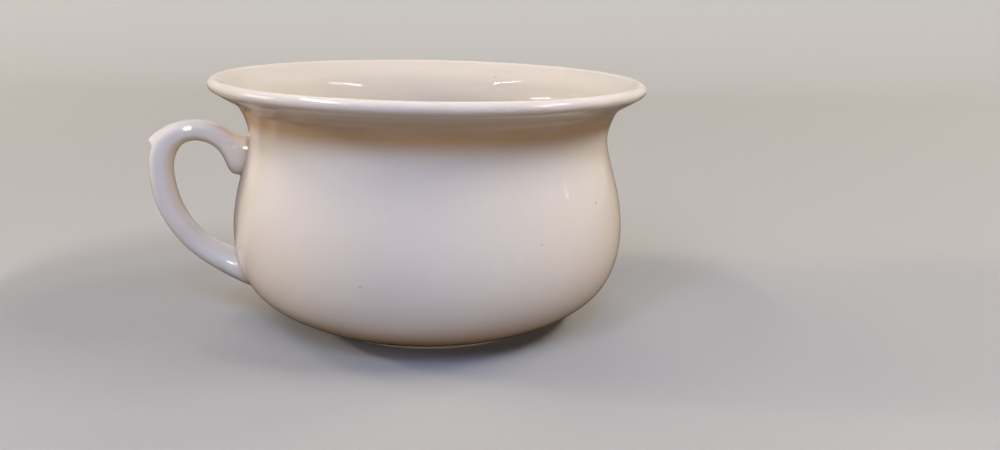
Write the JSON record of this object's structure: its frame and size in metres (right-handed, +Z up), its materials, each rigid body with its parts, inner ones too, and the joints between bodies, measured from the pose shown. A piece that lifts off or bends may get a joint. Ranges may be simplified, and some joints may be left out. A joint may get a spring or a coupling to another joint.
{
  "type": "chamber pot",
  "caption": "Squat round glazed earthenware chamber pot with an out-turned rolled rim, a low foot ring and one loop handle with a thumb spur.",
  "frame": {"origin": "centre of the standing plane under the foot ring, on the bowl's axis of revolution", "axes": "+Z up along the bowl's axis; the handle stands out along -X; +Y completes the right-handed set"},
  "size_m": [0.2595, 0.229, 0.1299],
  "materials": {
    "glaze": "glossy cream lead-type glaze over a white earthenware body",
    "slip_glaze": "glossy cream glaze, pooled and a little darker in the joint",
    "foot_biscuit": "glazed sides with the standing edge wiped and worn to bare biscuit"
  },
  "bodies": {
    "root": {"bowl": "glaze", "rim_roll": "glaze", "foot_ring": "foot_biscuit", "handle": "glaze", "thumb_spur": "glaze", "upper_slip_joint": "slip_glaze", "lower_slip_joint": "slip_glaze"}
  },
  "joints": []
}
